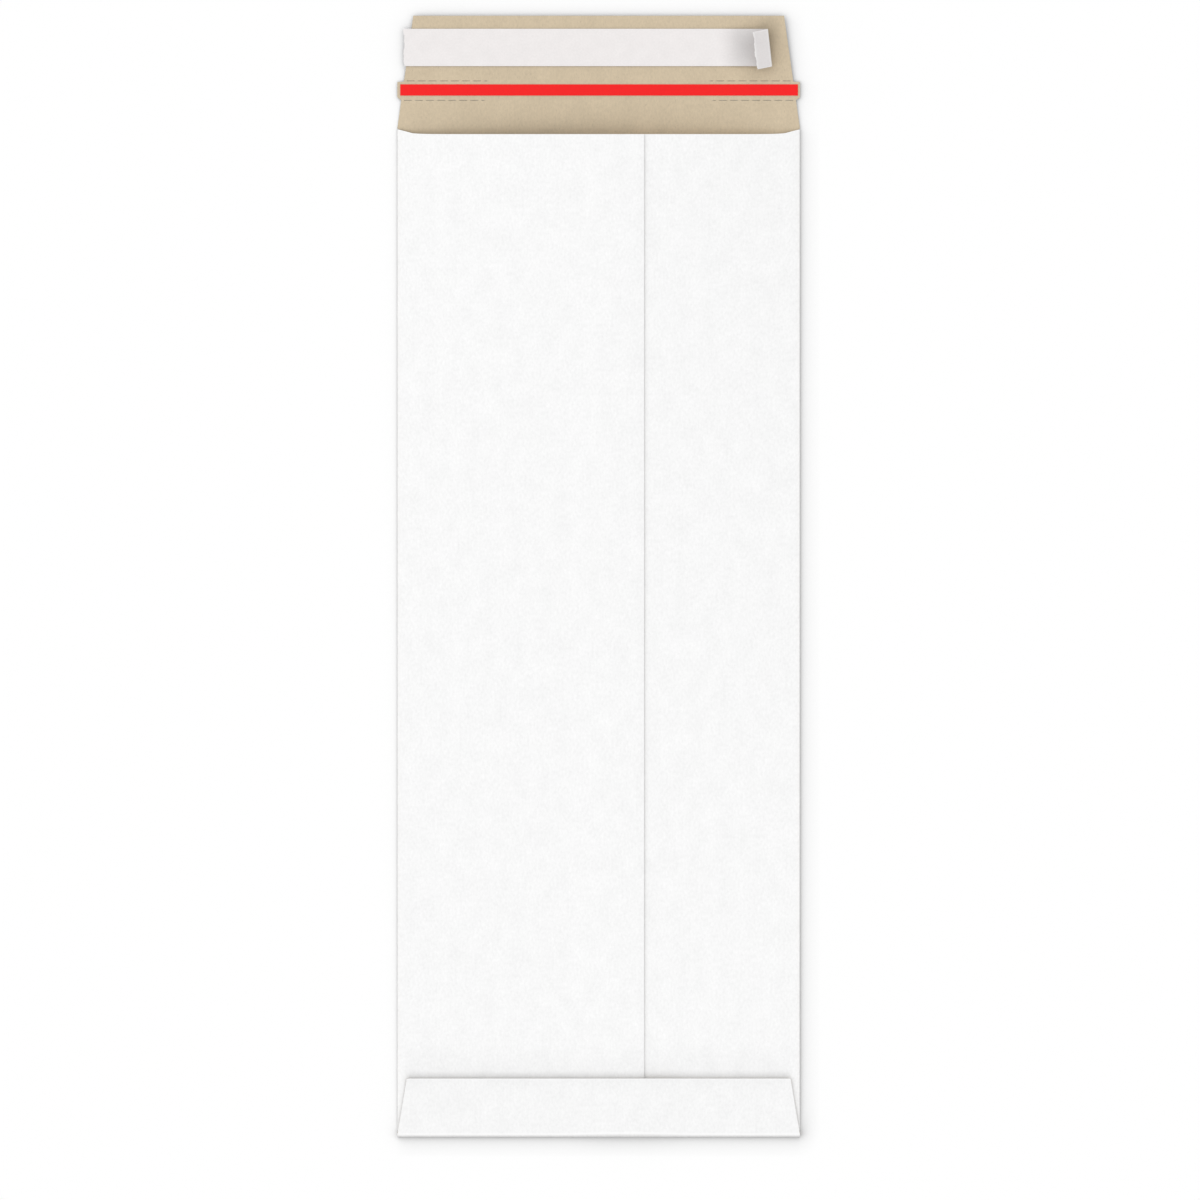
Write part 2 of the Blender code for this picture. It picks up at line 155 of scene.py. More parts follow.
# Shade that gathers beside what stands close: how far it reaches, and how dark it gets at most
WHITE_SHADE = (0.003, 0.30)
KRAFT_SHADE = (0.016, 0.30)
FLOOR_SHADE = (0.008, 0.10)
# Painted drop shadow on the floor, cast towards the lower right: its lean points to the upper left
FLOOR_PAINTED_SHADOW = (0.009, 0.66)
PAINTED_SHADOW_LEAN = math.radians(60)
PAINTED_SHADOW_BEARING = math.radians(52)

# Shade on the panels above the bottom flap's edge, and where less of it gathers near that flap
EDGE_SHADE_START = 0.0045
EDGE_SHADE_FULL = 0.0003
EDGE_SHADE_UNDERLAP = 0.0008
EDGE_SHADE_MOST = 0.13
FAR_SHADE_REACH = 0.016
FAR_SHADE_MOST = 0.05
FLAP_SHADE = 0.017
LESS_SHADE_SPAN = (-0.205, -0.13)
LESS_SHADE_LEFT = 0.55

# Less painted shade at the crease towards the right, where light reaches it, and the oval spots beside the
# tab, with less painted shade below it and a painted shadow above it: middle, half size
CREASE_LIGHT_SPAN = (-0.02, 0.036)
CREASE_LIGHT = (0.1, 0.95)
CREASE_LIGHT_REACH = 0.013
CREASE_LIGHT_FULL = 0.006
BELOW_TAB = ((0.0690, CREASE_Y + 0.0260), (0.0095, 0.0065))
BELOW_TAB_LIGHT = 0.85
ABOVE_TAB = ((0.0760, CREASE_Y + 0.0425), (0.0080, 0.0125))
ABOVE_TAB_SHADE = 0.16

# Painted shade where the liner rises to its fold under the raised tab, and on the tab past the fold: where,
# and how dark
LINER_SHADE_REACH = 0.0245
LINER_SHADE_FULL = 0.0075
LINER_SHADE_BOW = 0.3
LINER_SHADE = 0.32
TAB_SHADE = 0.09

# Worn bands along folds, painted dent shade round the slits, white fibres at the tab's torn end and painted
# highlights along folds and edges: how wide, and how strong
SIDE_FOLD_WEAR = 0.0022
BOTTOM_FOLD_WEAR = 0.00308
FOLD_WEAR = 0.09
DENT_SHADE = 0.18
FLAP_HIGHLIGHT_WIDTH = 0.0007
FLAP_HIGHLIGHT_STRENGTH = 0.7
TORN_RIM = 0.0011
TAB_FOLD_HIGHLIGHT = 0.0006
TAB_SIDE_HIGHLIGHT = 0.0007
TAB_FIBRE_AND_HIGHLIGHT_STRENGTH = 0.45

# Stage
FLOOR_SIZE = 3
FLOOR_LEVEL = -0.00004
CAMERA_PLACE = (0.0006, 0.0146, 1.0)

SHEET_UV = "flat_sheet"
LINER_UV = "liner"


class BoardSettings(bpy.types.PropertyGroup):
    thickness: FloatProperty(
        name="Board thickness",
        description="Thickness of the sheet",
        default=0.0006,
        unit="LENGTH",
        precision=5,
    )
    mouth_rise: FloatProperty(
        name="Mouth rise",
        description="How far the panels arch up at the mouth",
        default=0.008,
        unit="LENGTH",
        precision=4,
    )
    flap_lift: FloatProperty(
        name="Flap lift",
        description="Angle at which the closing flap stands off the table",
        default=math.radians(1.8),
        subtype="ANGLE",
        unit="ROTATION",
    )
    slit_width: FloatProperty(
        name="Slit width",
        description="Width of each slit of the perforation",
        default=0.00015,
        unit="LENGTH",
        precision=5,
    )
    edge_rounding: FloatProperty(
        name="Edge rounding",
        description="How far the cut edges of the board are worn round",
        default=0.00009,
        unit="LENGTH",
        precision=5,
    )
    white: FloatVectorProperty(
        name="Outside",
        description="Colour of the board's outside",
        subtype="COLOR",
        default=(0.94, 0.94, 0.94),
    )
    kraft: FloatVectorProperty(
        name="Inside",
        description="Colour of the board's inside",
        subtype="COLOR",
        default=(0.625, 0.518, 0.368),
    )
    cut_edge: FloatVectorProperty(
        name="Cut edge",
        description="Colour of the board's cut edge",
        subtype="COLOR",
        default=(0.58, 0.57, 0.55),
    )


class TapeSettings(bpy.types.PropertyGroup):
    width: FloatProperty(
        name="Tape width",
        description="Width of the tear tape",
        default=0.005,
        unit="LENGTH",
        precision=4,
    )
    thickness: FloatProperty(
        name="Tape thickness",
        description="Thickness of the tear tape's film",
        default=0.00012,
        unit="LENGTH",
        precision=5,
    )
    colour: FloatVectorProperty(
        name="Tape",
        description="Colour of the tear tape",
        subtype="COLOR",
        default=(0.925, 0.004, 0.005),
    )


class LinerSettings(bpy.types.PropertyGroup):
    width: FloatProperty(
        name="Liner width",
        description="Width of the release liner",
        default=LINER_WIDTH,
        unit="LENGTH",
        precision=4,
    )
    thickness: FloatProperty(
        name="Liner thickness",
        description="Thickness of the release paper",
        default=0.0001,
        unit="LENGTH",
        precision=5,
    )
    tab_length: FloatProperty(
        name="Tab length",
        description="Length of the end that is folded back",
        default=0.0072,
        unit="LENGTH",
        precision=4,
    )
    tab_opening: FloatProperty(
        name="Tab opening",
        description="Angle between the liner and its folded end",
        default=math.radians(26),
        subtype="ANGLE",
        unit="ROTATION",
    )
    colour: FloatVectorProperty(
        name="Liner",
        description="Colour of the release paper",
        subtype="COLOR",
        default=(0.855, 0.822, 0.815),
    )


class GlueSettings(bpy.types.PropertyGroup):
    adhesive: FloatVectorProperty(
        name="Adhesive",
        description="Colour of the closing adhesive",
        subtype="COLOR",
        default=(0.85, 0.84, 0.78),
    )
    glue: FloatVectorProperty(
        name="Glue",
        description="Colour of the dried glue between the layers",
        subtype="COLOR",
        default=(0.80, 0.76, 0.66),
    )


class StageSettings(bpy.types.PropertyGroup):
    frame_width: FloatProperty(
        name="View width",
        description="Width of the square that the camera sees",
        default=0.5365,
        unit="LENGTH",
    )
    dome_light: FloatProperty(
        name="Dome light",
        description="Strength of the light from all round",
        default=0.70,
    )
    key_light: FloatProperty(
        name="Key light",
        description="Share of the light that comes from the upper left",
        default=0.30,
    )
    key_height: FloatProperty(
        name="Key height",
        description="Angle of the key light above the table",
        default=math.radians(65),
        subtype="ANGLE",
        unit="ROTATION",
    )
    key_bearing: FloatProperty(
        name="Key bearing",
        description="Angle of the key light to the left of the closing flap",
        default=math.radians(40),
        subtype="ANGLE",
        unit="ROTATION",
    )
    key_size: FloatProperty(
        name="Key size",
        description="Angle that the key light fills, seen from the object",
        default=math.radians(110),
        subtype="ANGLE",
        unit="ROTATION",
    )
    floor_grey: FloatProperty(
        name="Floor",
        description="How much light the floor gives back to the object",
        default=0.35,
    )


# Small helpers


def flap_half_width(v):
    """Half the closing flap's width at v from its crease."""
    return BODY_WIDTH / 2 - FLAP_INSET * v / FLAP_LENGTH


def row_ends(v):
    """Distances from the middle at which a row of perforation starts and ends, at v from the crease."""
    start = flap_half_width(v) - SLIT_EDGE_MARGIN
    return start, start - SLITS_IN_ROW * SLIT_PITCH - SHORT_SLIT_LENGTH


def smooth(t):
    """0 to 1 with level ends, as t runs from 0 to 1."""
    t = min(max(t, 0.0), 1.0)
    return t * t * (3 - 2 * t)


def fractions(count):
    """count + 1 even fractions from 0 to 1."""
    return [k / count for k in range(count + 1)]


def eased(count):
    """count + 1 fractions from 0 to 1, closer together at both ends."""
    return [0.35 * k + 0.65 * (1 - math.cos(math.pi * k)) / 2 for k in fractions(count)]


def edge_dense(count):
    """2 x count + 1 fractions from -1 to 1, closer together towards both ends."""
    return [math.sin(math.pi / 2 * k / count) for k in range(-count, count + 1)]


def index_grid(rows, columns):
    """A flat grid and, for each of its vertices, its row and column."""
    bm = bmesh.new()
    bmesh.ops.create_grid(bm, x_segments=columns - 1, y_segments=rows - 1, size=0.5)
    if len(bm.verts) != rows * columns:
        raise RuntimeError(f"the grid has {len(bm.verts)} points, not {rows * columns}")
    places = {}
    for vert in bm.verts:
        row = round((vert.co.y + 0.5) * (rows - 1))
        column = round((vert.co.x + 0.5) * (columns - 1))
        places[vert] = row, column
    return bm, places


def keep_flat_places(bm, name):
    """Stores where each point lies now as a UV map, in metres."""
    layer = bm.loops.layers.uv.new(name)
    for face in bm.faces:
        for loop in face.loops:
            loop[layer].uv = loop.vert.co.xy


def finished_object(name, bm, materials):
    mesh = bpy.data.meshes.new(name)
    bm.to_mesh(mesh)
    bm.free()
    mesh.shade_smooth()
    for material in materials:
        mesh.materials.append(material)
    piece = bpy.data.objects.new(name, mesh)
    bpy.context.scene.collection.objects.link(piece)
    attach(piece, "root")
    return piece


def thicken(piece, thickness, other_side=0, edge=0):
    solid = piece.modifiers.new("Thickness", "SOLIDIFY")
    solid.thickness = thickness
    solid.offset = 0
    solid.material_offset = other_side
    solid.material_offset_rim = edge


def round_edges(piece, width, segments, material=-1):
    """Rounds cut edges, and keeps broad faces level in shading."""
    bevel = piece.modifiers.new("Rounded edges", "BEVEL")
    bevel.material = material
    bevel.width = width
    bevel.segments = segments
    bevel.limit_method = "ANGLE"
    bevel.angle_limit = CUT_EDGE_ANGLE
    shading = piece.modifiers.new("Shading", "WEIGHTED_NORMAL")
    shading.keep_sharp = True


# Shader maths


class Graph:
    """An output of a material's nodes. Arithmetic on it adds Math nodes."""

    def __init__(self, tree, socket=None):
        self.tree = tree
        self.socket = socket

    def node(self, kind, settings=None, inputs=None, output=0):
        """Adds a node: its settings first, then its sockets' values or links."""
        made = self.tree.nodes.new(kind)
        for name, value in (settings or {}).items():
            setattr(made, name, value)
        for key, value in (inputs or {}).items():
            if isinstance(value, Graph):
                self.tree.links.new(value.socket, made.inputs[key])
            else:
                made.inputs[key].default_value = value
        socket = made.outputs[output] if made.outputs else None
        return Graph(self.tree, socket)

    def maths(self, operation, *values, clamp=False):
        settings = {"operation": operation, "use_clamp": clamp}
        return self.node("ShaderNodeMath", settings, dict(enumerate(values)))

    def __add__(self, other):
        return self.maths("ADD", self, other)

    def __sub__(self, other):
        return self.maths("SUBTRACT", self, other)

    def __rsub__(self, other):
        return self.maths("SUBTRACT", other, self)

    def __mul__(self, other):
        return self.maths("MULTIPLY", self, other)

    def __truediv__(self, other):
        return self.maths("DIVIDE", self, other)

    def __abs__(self):
        return self.maths("ABSOLUTE", self)

    __radd__ = __add__
    __rmul__ = __mul__

    def clamped(self):
        return self.maths("ADD", self, 0.0, clamp=True)

    def colour_mix(self, factor, low, high):
        """From colour low to colour high as factor runs from 0 to 1."""
        settings = {"data_type": "RGBA"}
        inputs = {0: factor, 6: with_alpha(low), 7: with_alpha(high)}
        return self.node("ShaderNodeMix", settings, inputs, output=2)

    def noise(self, place, scale, detail=2.0, roughness=0.5):
        inputs = {"Vector": place, "Scale": scale, "Detail": detail, "Roughness": roughness}
        return self.node("ShaderNodeTexNoise", {}, inputs)

    def stretched(self, place, scale):
        return self.node("ShaderNodeMapping", {}, {"Vector": place, "Scale": scale})

    def across_and_along(self, flat):
        """The first two coordinates of a place on the flat sheet or liner."""
        parts = self.node("ShaderNodeSeparateXYZ", {}, {"Vector": flat})
        return parts, Graph(self.tree, parts.socket.node.outputs[1])

    def ramped(self, value, start, end, low=0.0, high=1.0):
        """From low to high as value goes from start to end, with level ends."""
        span = {"Value": value, "From Min": start, "From Max": end, "To Min": low, "To Max": high}
        return self.node("ShaderNodeMapRange", {"interpolation_type": "SMOOTHERSTEP"}, span)


def with_alpha(colour):
    return colour if isinstance(colour, Graph) else (*colour, 1.0)


def tinted(colour, factor):
    """colour made lighter or darker by factor."""
    return tuple(channel * factor for channel in colour)


def new_material(name):
    material = bpy.data.materials.new(name)
    material.use_nodes = True
    material.node_tree.nodes.clear()
    return material, Graph(material.node_tree)


def finish_material(graph, colour, roughness, height=None, relief=0.0, **constants):
    """Principled surface with a bump of the given relief in metres."""
    inputs = {"Base Color": colour, "Roughness": roughness}
    if height is not None:
        bump = {"Height": height, "Distance": relief, "Strength": 1.0}
        inputs["Normal"] = graph.node("ShaderNodeBump", {}, bump)
    inputs.update(constants)
    surface = graph.node("ShaderNodeBsdfPrincipled", {}, inputs)
    graph.node("ShaderNodeOutputMaterial", {}, {"Surface": surface})


def fold_wear(graph, flat):
    """1 along the folds and the outline's sides, falling to 0 beside them."""
    across, along = graph.across_and_along(flat)
    side = 1 - abs(abs(across) - BODY_WIDTH / 2) / SIDE_FOLD_WEAR
    bottom = 1 - abs(along - FLAT_FOLD_MIDDLE) / BOTTOM_FOLD_WEAR
    return side.maths("MAXIMUM", side, bottom).clamped()


def gathered_shade(graph, reach, most, lean=None):
    """0 in the open, up to most where other surfaces stand close. lean points to where they count."""
    inputs = {"Distance": reach}
    if lean is not None:
        inputs["Normal"] = graph.node("ShaderNodeCombineXYZ", {}, dict(enumerate(lean)))
    open_sky = graph.node("ShaderNodeAmbientOcclusion", {"samples": 8}, inputs, output=1)
    return (1 - open_sky) * most


def above_bottom_flap(graph, flat):
    """Shade on the panels just above the bottom flap's edge, falling to 0 further up."""
    across, along = graph.across_and_along(flat)
    up = along - BOTTOM_FLAP_EDGE_Y
    past_fold = abs(across) - BODY_WIDTH / 2
    near = graph.ramped(up, EDGE_SHADE_START, EDGE_SHADE_FULL)
    far = graph.node("ShaderNodeMapRange", {}, {"Value": up, 1: FAR_SHADE_REACH, 2: 0.0})
    beside = graph.ramped(past_fold, BOTTOM_FLAP_INSET / 2, 1.6 * BOTTOM_FLAP_INSET)
    above = up.maths("GREATER_THAN", up, -EDGE_SHADE_UNDERLAP)
    return (near * EDGE_SHADE_MOST + far * FAR_SHADE_MOST) * beside * above


def bottom_flap_shade_and_highlights(graph, flat):
    """Gathered shade that is left near the bottom flap, the flap's own painted shade, and painted highlights
    along its fold and free edge.
    """
    along = graph.across_and_along(flat)[1]
    left = graph.ramped(along, *LESS_SHADE_SPAN, LESS_SHADE_LEFT)
    on_flap = along.maths("LESS_THAN", along, FLAT_FOLD_MIDDLE)
    fold_highlight = 1 - abs(along - FLAT_FOLD_END) / FLAP_HIGHLIGHT_WIDTH
    free_highlight = 1 - abs(along - (FLAT_FOLD_END - FLAT_BOTTOM_FLAP)) / FLAP_HIGHLIGHT_WIDTH
    rims = fold_highlight.maths("MAXIMUM", fold_highlight, free_highlight).clamped() * on_flap
    return left, on_flap * FLAP_SHADE, rims


def white_face(board):
    """White-lined outside: soft cloudy fibres, with fine cracks where it is folded, painted shade where
    surfaces stand close and above the bottom flap, and painted highlights on the bottom flap's edges.
    """
    material, graph = new_material("board_white_face")
    flat = graph.node("ShaderNodeUVMap", {"uv_map": SHEET_UV})
    fibre_place = graph.stretched(flat, (1.0, 0.62, 1.0))
    fibres = graph.noise(fibre_place, 900, detail=3.0, roughness=0.6)
    clouds = graph.noise(fibre_place, 150, detail=3.0, roughness=0.55)
    mottle = (fibres * 0.62 + clouds * 0.38).clamped()
    lining = graph.colour_mix(mottle, tinted(board.white, 0.85), tinted(board.white, 1.15))
    cracks = graph.noise(graph.stretched(flat, (1.0, 0.25, 1.0)), 2600, detail=2.0)
    worn = fold_wear(graph, flat) * cracks * FOLD_WEAR
    faced = graph.colour_mix(worn, lining, tinted(board.kraft, 1.25))
    left, on_flap, rims = bottom_flap_shade_and_highlights(graph, flat)
    # Painted shade: gathered where surfaces stand close, above the bottom flap's edge and on the bottom flap
    shade = gathered_shade(graph, *WHITE_SHADE) * left + above_bottom_flap(graph, flat) + on_flap
    shaded = graph.colour_mix(shade, faced, (0.0, 0.0, 0.0))
    # Painted highlights along the bottom flap's fold and free edge
    colour = graph.colour_mix(rims * FLAP_HIGHLIGHT_STRENGTH, shaded, (1.0, 1.0, 1.0))
    roughness = 0.62 + clouds * 0.2
    finish_material(graph, colour, roughness, fibres * 0.7 + clouds * 0.9, 0.00003)
    return material


def slit_dent_painted_shade(graph, flat):
    """Painted shade, as of a pressed dent, round each slit of the perforation."""
    across, along = graph.across_and_along(flat)
    painted_dent_shade = 0.0
    for v in (TEAR_STRIP_START, TEAR_STRIP_END):
        start, end = row_ends(v)
        inward = (start - abs(across)) / SLIT_PITCH
        in_slit = inward.maths("LESS_THAN", inward.maths("FRACT", inward), SLIT_LENGTH / SLIT_PITCH)
        in_row = inward.maths("GREATER_THAN", abs(across), end)
        near = (1 - abs(along - (CREASE_Y + v)) / DENT_HALF_WIDTH).clamped()
        painted_dent_shade = near * in_slit * in_row + painted_dent_shade
    return painted_dent_shade


def soft_spot(graph, flat, middle, half_size):
    """1 around the middle of an oval on the flat sheet, falling softly to 0 at its outline."""
    shift = [-place / half for place, half in zip(middle, half_size)] + [0]
    scale = [1 / half for half in half_size] + [1]
    placed = {"Vector": flat, "Location": shift, "Scale": scale}
    oval = graph.node("ShaderNodeMapping", {}, placed)
    away = graph.node("ShaderNodeVectorMath", {"operation": "LENGTH"}, {0: oval}, output=1)
    return graph.ramped(away, 1.0, 0.1)


def kraft_shade(graph, flat):
    """Painted shade on the closing flap: gathered shade, less of it to the right of its crease and below the
    liner's tab, and a painted shadow of the tab above it.
    """
    across, along = graph.across_and_along(flat)
    less = graph.ramped(across, *CREASE_LIGHT_SPAN, *CREASE_LIGHT)
    at_crease = graph.ramped(along, CREASE_Y + CREASE_LIGHT_REACH, CREASE_Y + CREASE_LIGHT_FULL)
    below_tab = soft_spot(graph, flat, *BELOW_TAB)
    above_tab = soft_spot(graph, flat, *ABOVE_TAB)
    gathered = gathered_shade(graph, *KRAFT_SHADE) * (1 - less * at_crease)
    return gathered * (1 - below_tab * BELOW_TAB_LIGHT) + above_tab * ABOVE_TAB_SHADE


def kraft_face(board):
    """Brown inside: short fibres, and a few darker and lighter ones."""
    material, graph = new_material("board_kraft_face")
    flat = graph.node("ShaderNodeUVMap", {"uv_map": SHEET_UV})
    fibre_place = graph.stretched(flat, (1.0, 0.55, 1.0))
    fibres = graph.noise(fibre_place, 1000, detail=4.0, roughness=0.65)
    clouds = graph.noise(fibre_place, 120, detail=3.0, roughness=0.55)
    mottle = (fibres * 0.65 + clouds * 0.35).clamped()
    ground = graph.colour_mix(mottle, tinted(board.kraft, 0.75), tinted(board.kraft, 1.25))
    hair_place = graph.stretched(flat, (2.4, 0.5, 1.0))
    hairs = graph.noise(hair_place, 1300, detail=1.0)
    dark = ((hairs - 0.66) * 9).clamped() * 0.45
    light = ((0.36 - hairs) * 9).clamped() * 0.35
    darker = graph.colour_mix(dark, ground, tinted(board.kraft, 0.55))
    fibred = graph.colour_mix(light, darker, tinted(board.kraft, 1.3))
    # Painted shade: gathered shade, the tab's painted shadow, and painted dent shade round the slits
    shade = kraft_shade(graph, flat) + slit_dent_painted_shade(graph, flat) * DENT_SHADE
    colour = graph.colour_mix(shade, fibred, (0.0, 0.0, 0.0))
    roughness = 0.78 + fibres * 0.15
    finish_material(graph, colour, roughness, fibres + clouds * 0.8, 0.00004)
    return material


def cut_face(board):
    """Cut edge: the layers of fibre between the two faces."""
    material, graph = new_material("board_cut_edge")
    place = graph.node("ShaderNodeTexCoord", {}, output=3)
    layers = graph.noise(graph.stretched(place, (1.0, 1.0, 7.0)), 900, detail=2.0)
    colour = graph.colour_mix(layers, tinted(board.cut_edge, 0.82), tinted(board.cut_edge, 1.15))
    finish_material(graph, colour, 0.9, layers, 0.00004)
    return material


def tape_film(tape):
    """Red film: an even colour with a soft gloss, and faint draw lines along it."""
    material, graph = new_material("tear_tape_film")
    place = graph.node("ShaderNodeTexCoord", {}, output=3)
    lines = graph.noise(graph.stretched(place, (0.06, 3.0, 1.0)), 700, detail=2.0)
    specks = graph.noise(place, 900, detail=2.0)
    colour = graph.colour_mix(
        (lines * 0.6 + specks * 0.4).clamped(), tinted(tape.colour, 0.90), tinted(tape.colour, 1.10)
    )
    gloss = {"Specular IOR Level": 0.25}
    finish_material(graph, colour, 0.34 + lines * 0.16, lines, 0.000015, **gloss)
    return material


def liner_painted_shade(graph, flat):
    """Painted shade on the thin paper: before its fold, where the folded tab stands over it, and on the tab
    past the fold.
    """
    along, across = graph.across_and_along(flat)
    before_fold = LINER_FOLD_X - across * math.tan(LINER_FOLD_ANGLE) - along
    rising = graph.ramped(before_fold, LINER_SHADE_REACH, LINER_SHADE_FULL)
    bowed = 1 - LINER_SHADE_BOW * (across * across) / (LINER_WIDTH / 2) ** 2
    not_tab = across.maths("GREATER_THAN", before_fold, 0.0)
    return rising * bowed * not_tab * LINER_SHADE + (1 - not_tab) * TAB_SHADE


def torn_fibres_and_highlights(graph, flat, liner):
    """1 at the folded tab's torn end, where it shows white fibres, and painted highlights beside its fold
    and at its sides.
    """
    along, across = graph.across_and_along(flat)
    slanted = along + across * math.tan(LINER_FOLD_ANGLE) - LINER_FOLD_X
    past_fold = slanted * math.cos(LINER_FOLD_ANGLE)
    turn_length = LINER_FOLD_RADIUS * (math.pi - liner.tab_opening)
    end = 1 - (turn_length + liner.tab_length - past_fold) / TORN_RIM
    fold = 1 - abs(past_fold - turn_length) / TAB_FOLD_HIGHLIGHT
    side = 1 - (LINER_WIDTH / 2 - abs(across)) / TAB_SIDE_HIGHLIGHT
    on_tab = past_fold.maths("GREATER_THAN", past_fold, turn_length / 2)
    return end.maths("MAXIMUM", end, fold.maths("MAXIMUM", fold, side)).clamped() * on_tab


def release_paper(liner):
    """Siliconed paper: smooth and slightly glossy, with a faint fibre cloud."""
    material, graph = new_material("release_paper")
    place = graph.node("ShaderNodeUVMap", {"uv_map": LINER_UV})
    fibres = graph.noise(place, 1100, detail=3.0, roughness=0.6)
    clouds = graph.noise(place, 160, detail=2.0)
    mottle = (fibres * 0.6 + clouds * 0.4).clamped()
    paper = graph.colour_mix(mottle, tinted(liner.colour, 0.89), tinted(liner.colour, 1.11))
    # Painted shade before the fold, where the tab stands over the liner, and on the tab itself
    with_painted_shade = graph.colour_mix(liner_painted_shade(graph, place), paper, (0.0, 0.0, 0.0))
    # White fibres at the torn end, and painted highlights along the tab's fold and sides
    rims = torn_fibres_and_highlights(graph, place, liner) * TAB_FIBRE_AND_HIGHLIGHT_STRENGTH
    colour = graph.colour_mix(rims, with_painted_shade, (0.97, 0.97, 0.96))
    gloss = {"Specular IOR Level": 0.45}
    finish_material(graph, colour, 0.4 + fibres * 0.15, fibres, 0.00001, **gloss)
    return material


def set_glue(name, colour, roughness, scale):
    """Spread glue: uneven in thickness and tone."""
    material, graph = new_material(name)
    place = graph.node("ShaderNodeTexCoord", {}, output=3)
    spread = graph.noise(place, scale, detail=3.0, roughness=0.55)
    tone = graph.colour_mix(spread, tinted(colour, 0.9), tinted(colour, 1.08))
    finish_material(graph, tone, roughness + spread * 0.15, spread, 0.00004)
    return material


# The sheet


class FoldedSheet:
    """Where each point of the flat sheet lies once it's cut and folded. Heights are of its middle."""

    def __init__(self, board):
        self.board = board.thickness
        self.slit = board.slit_width
        self.rise = board.mouth_rise
        self.radius = FOLD_INNER_RADIUS + self.board / 2
        self.fold_x = BODY_WIDTH / 2 - self.board / 2 - self.radius
        self.fold_z = self.board / 2 + self.radius
        self.arc = math.pi * self.radius
        self.layer = self.board + GLUE_THICKNESS + 2 * BOND_GAP
        turn = Matrix.Rotation(board.flap_lift, 4, "X")
        self.flap_place = Matrix.Translation((0, CREASE_Y, self.board / 2)) @ turn
        self.columns = self.flat_columns()
        self.rows = self.flat_rows()

    def flat_columns(self):
        """Flat places across the sheet: wide panel, fold, middle strip, fold, narrow panel."""
        fold_out = [self.fold_x + self.arc * k for k in fractions(FOLD_STEPS)[1:]]
        wide = self.fold_x + SEAM_X
        narrow = self.fold_x - HIDDEN_EDGE_X
        left = fold_out + [fold_out[-1] + wide * k for k in eased(WIDE_COLUMNS)[1:]]
        right = fold_out + [fold_out[-1] + narrow * k for k in eased(NARROW_COLUMNS)[1:]]
        self.strip_start = len(left)
        strip = [self.fold_x * f for f in edge_dense(STRIP_HALF_COLUMNS)]
        self.strip_end = self.strip_start + len(strip) - 1
        return [-u for u in reversed(left)] + strip + right

    def flat_rows(self):
        """Flat places along the sheet, from the bottom flap's edge to the closing flap's."""
        fold = FLAT_FOLD_START - FLAT_FOLD_END
        rows = [FLAT_FOLD_END - FLAT_BOTTOM_FLAP * (1 - k) for k in fractions(BOTTOM_FLAP_ROWS)]
        rows += [FLAT_FOLD_END + fold * k for k in fractions(FOLD_STEPS)[1:]]
        rows += [PANEL_BOTTOM_Y - CUT_RELIEF]
        self.body_start = len(rows)
        body = THROAT_CORNER_Y - PANEL_BOTTOM_Y
        rows += [PANEL_BOTTOM_Y + body * k for k in eased(BODY_ROWS)]
        self.body_end = len(rows) - 1
        half = self.slit / 2
        flap = [0, SCORE_HALF_WIDTH, *ROWS_BELOW_TEAR_STRIP, TEAR_STRIP_START - half]
        self.ear_start = len(rows) + len(flap)
        flap += [TEAR_STRIP_START + half, TEAR_STRIP_START + EAR_SLOPE, ROW_IN_TEAR_STRIP, EAR_END]
        self.ear_end = len(rows) + len(flap) - 1
        flap += [TEAR_STRIP_END - half, TEAR_STRIP_END + half, *ROWS_ABOVE_TEAR_STRIP, FLAP_LENGTH]
        return rows + [CREASE_Y + v for v in flap]

    def strip_half_width(self, y):
        """Half the middle strip's width at flat place y."""
        if y < FLAT_FOLD_END:
            return BODY_WIDTH / 2 - BOTTOM_FLAP_INSET * (FLAT_FOLD_END - y) / FLAT_BOTTOM_FLAP
        if y > CREASE_Y:
            return flap_half_width(y - CREASE_Y)
        on_body = y > PANEL_BOTTOM_Y - CUT_RELIEF / 2 and y < CREASE_Y - SCORE_HALF_WIDTH / 2
        return self.fold_x if on_body else BODY_WIDTH / 2

    def flat_place(self, row, column):
        """Where the die cuts a grid point, on the flat sheet."""
        u, y = self.columns[column], self.rows[row]
        if self.strip_start <= column <= self.strip_end:
            return Vector((u / self.fold_x * self.strip_half_width(y), y, 0))
        if self.ear_start <= row <= self.ear_end:
            at_flap = flap_half_width(y - CREASE_Y)
            reach = at_flap if row == self.ear_start else BODY_WIDTH / 2
            drop = EAR_TOP_DROP if row == self.ear_end else 0.0
            return Vector((math.copysign(reach, u), y - drop, 0))
        return Vector((u, y, 0))

    def is_waste(self, row, column):
        """True for a cell of the grid that the die cuts away."""
        if self.strip_start <= column < self.strip_end:
            return False
        if self.body_start <= row < self.body_end:
            return False
        beside_strip = column in (self.strip_start - 1, self.strip_end)
        return not (beside_strip and self.ear_start <= row < self.ear_end)

    # Heights

    def mouth_rise(self, y):
        along = (y - RISE_START_Y) / (CREASE_Y - RISE_START_Y)
        return self.rise * max(along, 0.0) ** RISE_POWER

    def fold_opening(self, y):
        return math.atan(2 * self.mouth_rise(y) / self.fold_x)

    def half_span(self, y):
        return self.fold_x + self.radius * math.sin(self.fold_opening(y))

    def narrow_z(self, x, y):
        arch = 1 - (x / self.half_span(y)) ** 2
        level = self.fold_z + self.radius * math.cos(self.fold_opening(y))
        return level + self.mouth_rise(y) * arch

    def over_seam_z(self, x, y):
        """The level at which the narrow panel's hidden edge holds what lies on it."""
        climb = (x - HIDDEN_EDGE_X + SEAM_RAMP) / SEAM_RAMP
        return self.narrow_z(x, y) + self.layer * smooth(climb)

